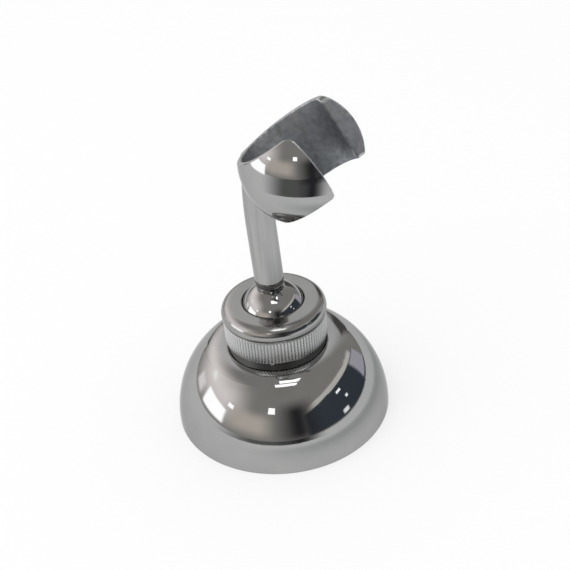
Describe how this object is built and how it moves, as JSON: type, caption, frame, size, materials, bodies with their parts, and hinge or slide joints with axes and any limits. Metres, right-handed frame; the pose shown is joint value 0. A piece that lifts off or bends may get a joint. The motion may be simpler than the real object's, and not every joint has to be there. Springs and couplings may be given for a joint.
{
  "type": "hand shower holder",
  "caption": "Chrome hand shower holder: a slotted, tapered cup on a rod that swivels, tilts and spins in a ball joint, clamped by a knurled ring nut on a domed wall base.",
  "frame": {"origin": "centre of the wall face", "axes": "+Z out of the wall along the base's axis, +X the way the cup's slot faces at rest"},
  "size_m": [0.06, 0.06, 0.0945],
  "materials": {
    "polished_chrome": "polished",
    "cast_chrome": "polished outside, satin as cast inside the cup",
    "plate_steel": "brushed",
    "seat_plastic": "matte"
  },
  "bodies": {
    "base": {"wall_plate": "plate_steel", "dome_cover": "polished_chrome", "socket_body": "polished_chrome"},
    "clamp_nut": {"clamp_nut": "polished_chrome"},
    "ball_seat": {"ball_seat": "seat_plastic"},
    "pivot_ball": {"pivot_ball": "polished_chrome"},
    "cradle_arm": {"cradle_arm": "cast_chrome"}
  },
  "joints": [
    {"name": "nut_turn", "type": "hinge", "parent": "base", "child": "clamp_nut", "pos_m": [0, 0, 0.03231], "axis": [0, 0, 1], "range_deg": [0, 180]},
    {"name": "arm_swivel", "type": "hinge", "parent": "base", "child": "ball_seat", "pos_m": [0, 0, 0.03231], "axis": [0, 0, 1], "continuous": true},
    {"name": "arm_tilt", "type": "hinge", "parent": "ball_seat", "child": "pivot_ball", "pos_m": [0, 0, 0.03231], "axis": [0, 1, 0], "range_deg": [-34.7, 37.3]},
    {"name": "arm_spin", "type": "hinge", "parent": "pivot_ball", "child": "cradle_arm", "pos_m": [0, 0, 0.03231], "axis": [-0.0229, -0.0263, 0.9994], "continuous": true}
  ]
}
